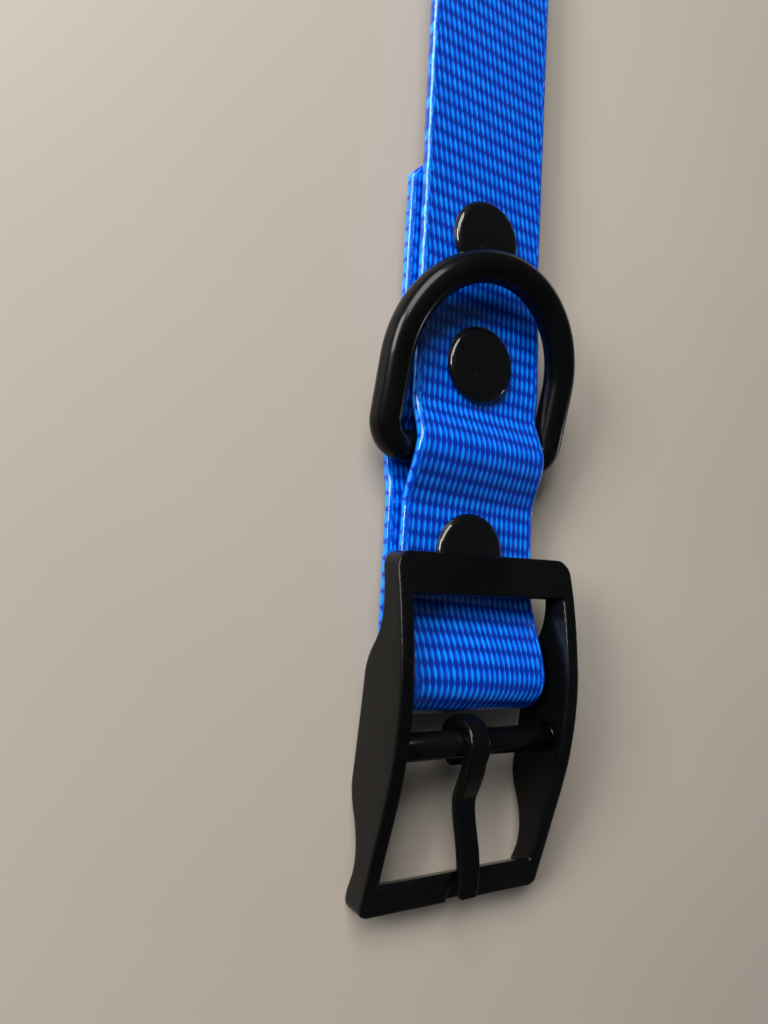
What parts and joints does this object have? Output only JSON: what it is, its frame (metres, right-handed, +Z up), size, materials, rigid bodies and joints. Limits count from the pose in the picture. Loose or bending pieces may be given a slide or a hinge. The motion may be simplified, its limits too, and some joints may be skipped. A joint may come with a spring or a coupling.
{
  "type": "pet collar",
  "caption": "Open pet collar: coated webbing strap folded round a curved buckle frame with a tongue, riveted back on itself over a D-ring, lying flat with its metal face up.",
  "frame": {"origin": "on the strap's underside, half way along the collar, where it lies on the surface", "axes": "+Y along the strap to its free end, +X across the strap, +Z up through the metal face"},
  "size_m": [0.0392, 0.5199, 0.0152],
  "materials": {
    "webbing": "woven webbing under a clear glossy blue coating",
    "buckle": "satin black coating on cast metal",
    "tongue": "satin black coating on steel",
    "ring": "satin black coating on welded steel wire",
    "rivet": "gloss black enamel on domed steel caps"
  },
  "bodies": {
    "collar": {"strap_folded_end": "webbing", "strap_free_end": "webbing", "rivet_cap_1": "rivet", "rivet_cap_2": "rivet", "rivet_cap_3": "rivet", "rivet_back_1": "rivet", "rivet_back_2": "rivet", "rivet_back_3": "rivet"},
    "ring": {"d_ring": "ring"},
    "buckle": {"buckle_frame": "buckle", "strap_bar": "buckle", "tongue_bar": "buckle"},
    "tongue": {"tongue": "tongue"}
  },
  "joints": [
    {"name": "ring_swing", "type": "hinge", "parent": "collar", "child": "ring", "pos_m": [-0.0001, -0.1859, 0.005], "axis": [1, 0, 0], "range_deg": [-2.6, 124]},
    {"name": "buckle_swing", "type": "hinge", "parent": "collar", "child": "buckle", "pos_m": [0.00145, -0.22455, 0.0055], "axis": [1, 0, 0], "range_deg": [0, 25]},
    {"name": "tongue_swing", "type": "hinge", "parent": "buckle", "child": "tongue", "pos_m": [0.00145, -0.23334, 0.0087], "axis": [-1, 0, 0], "range_deg": [0, 150]}
  ]
}
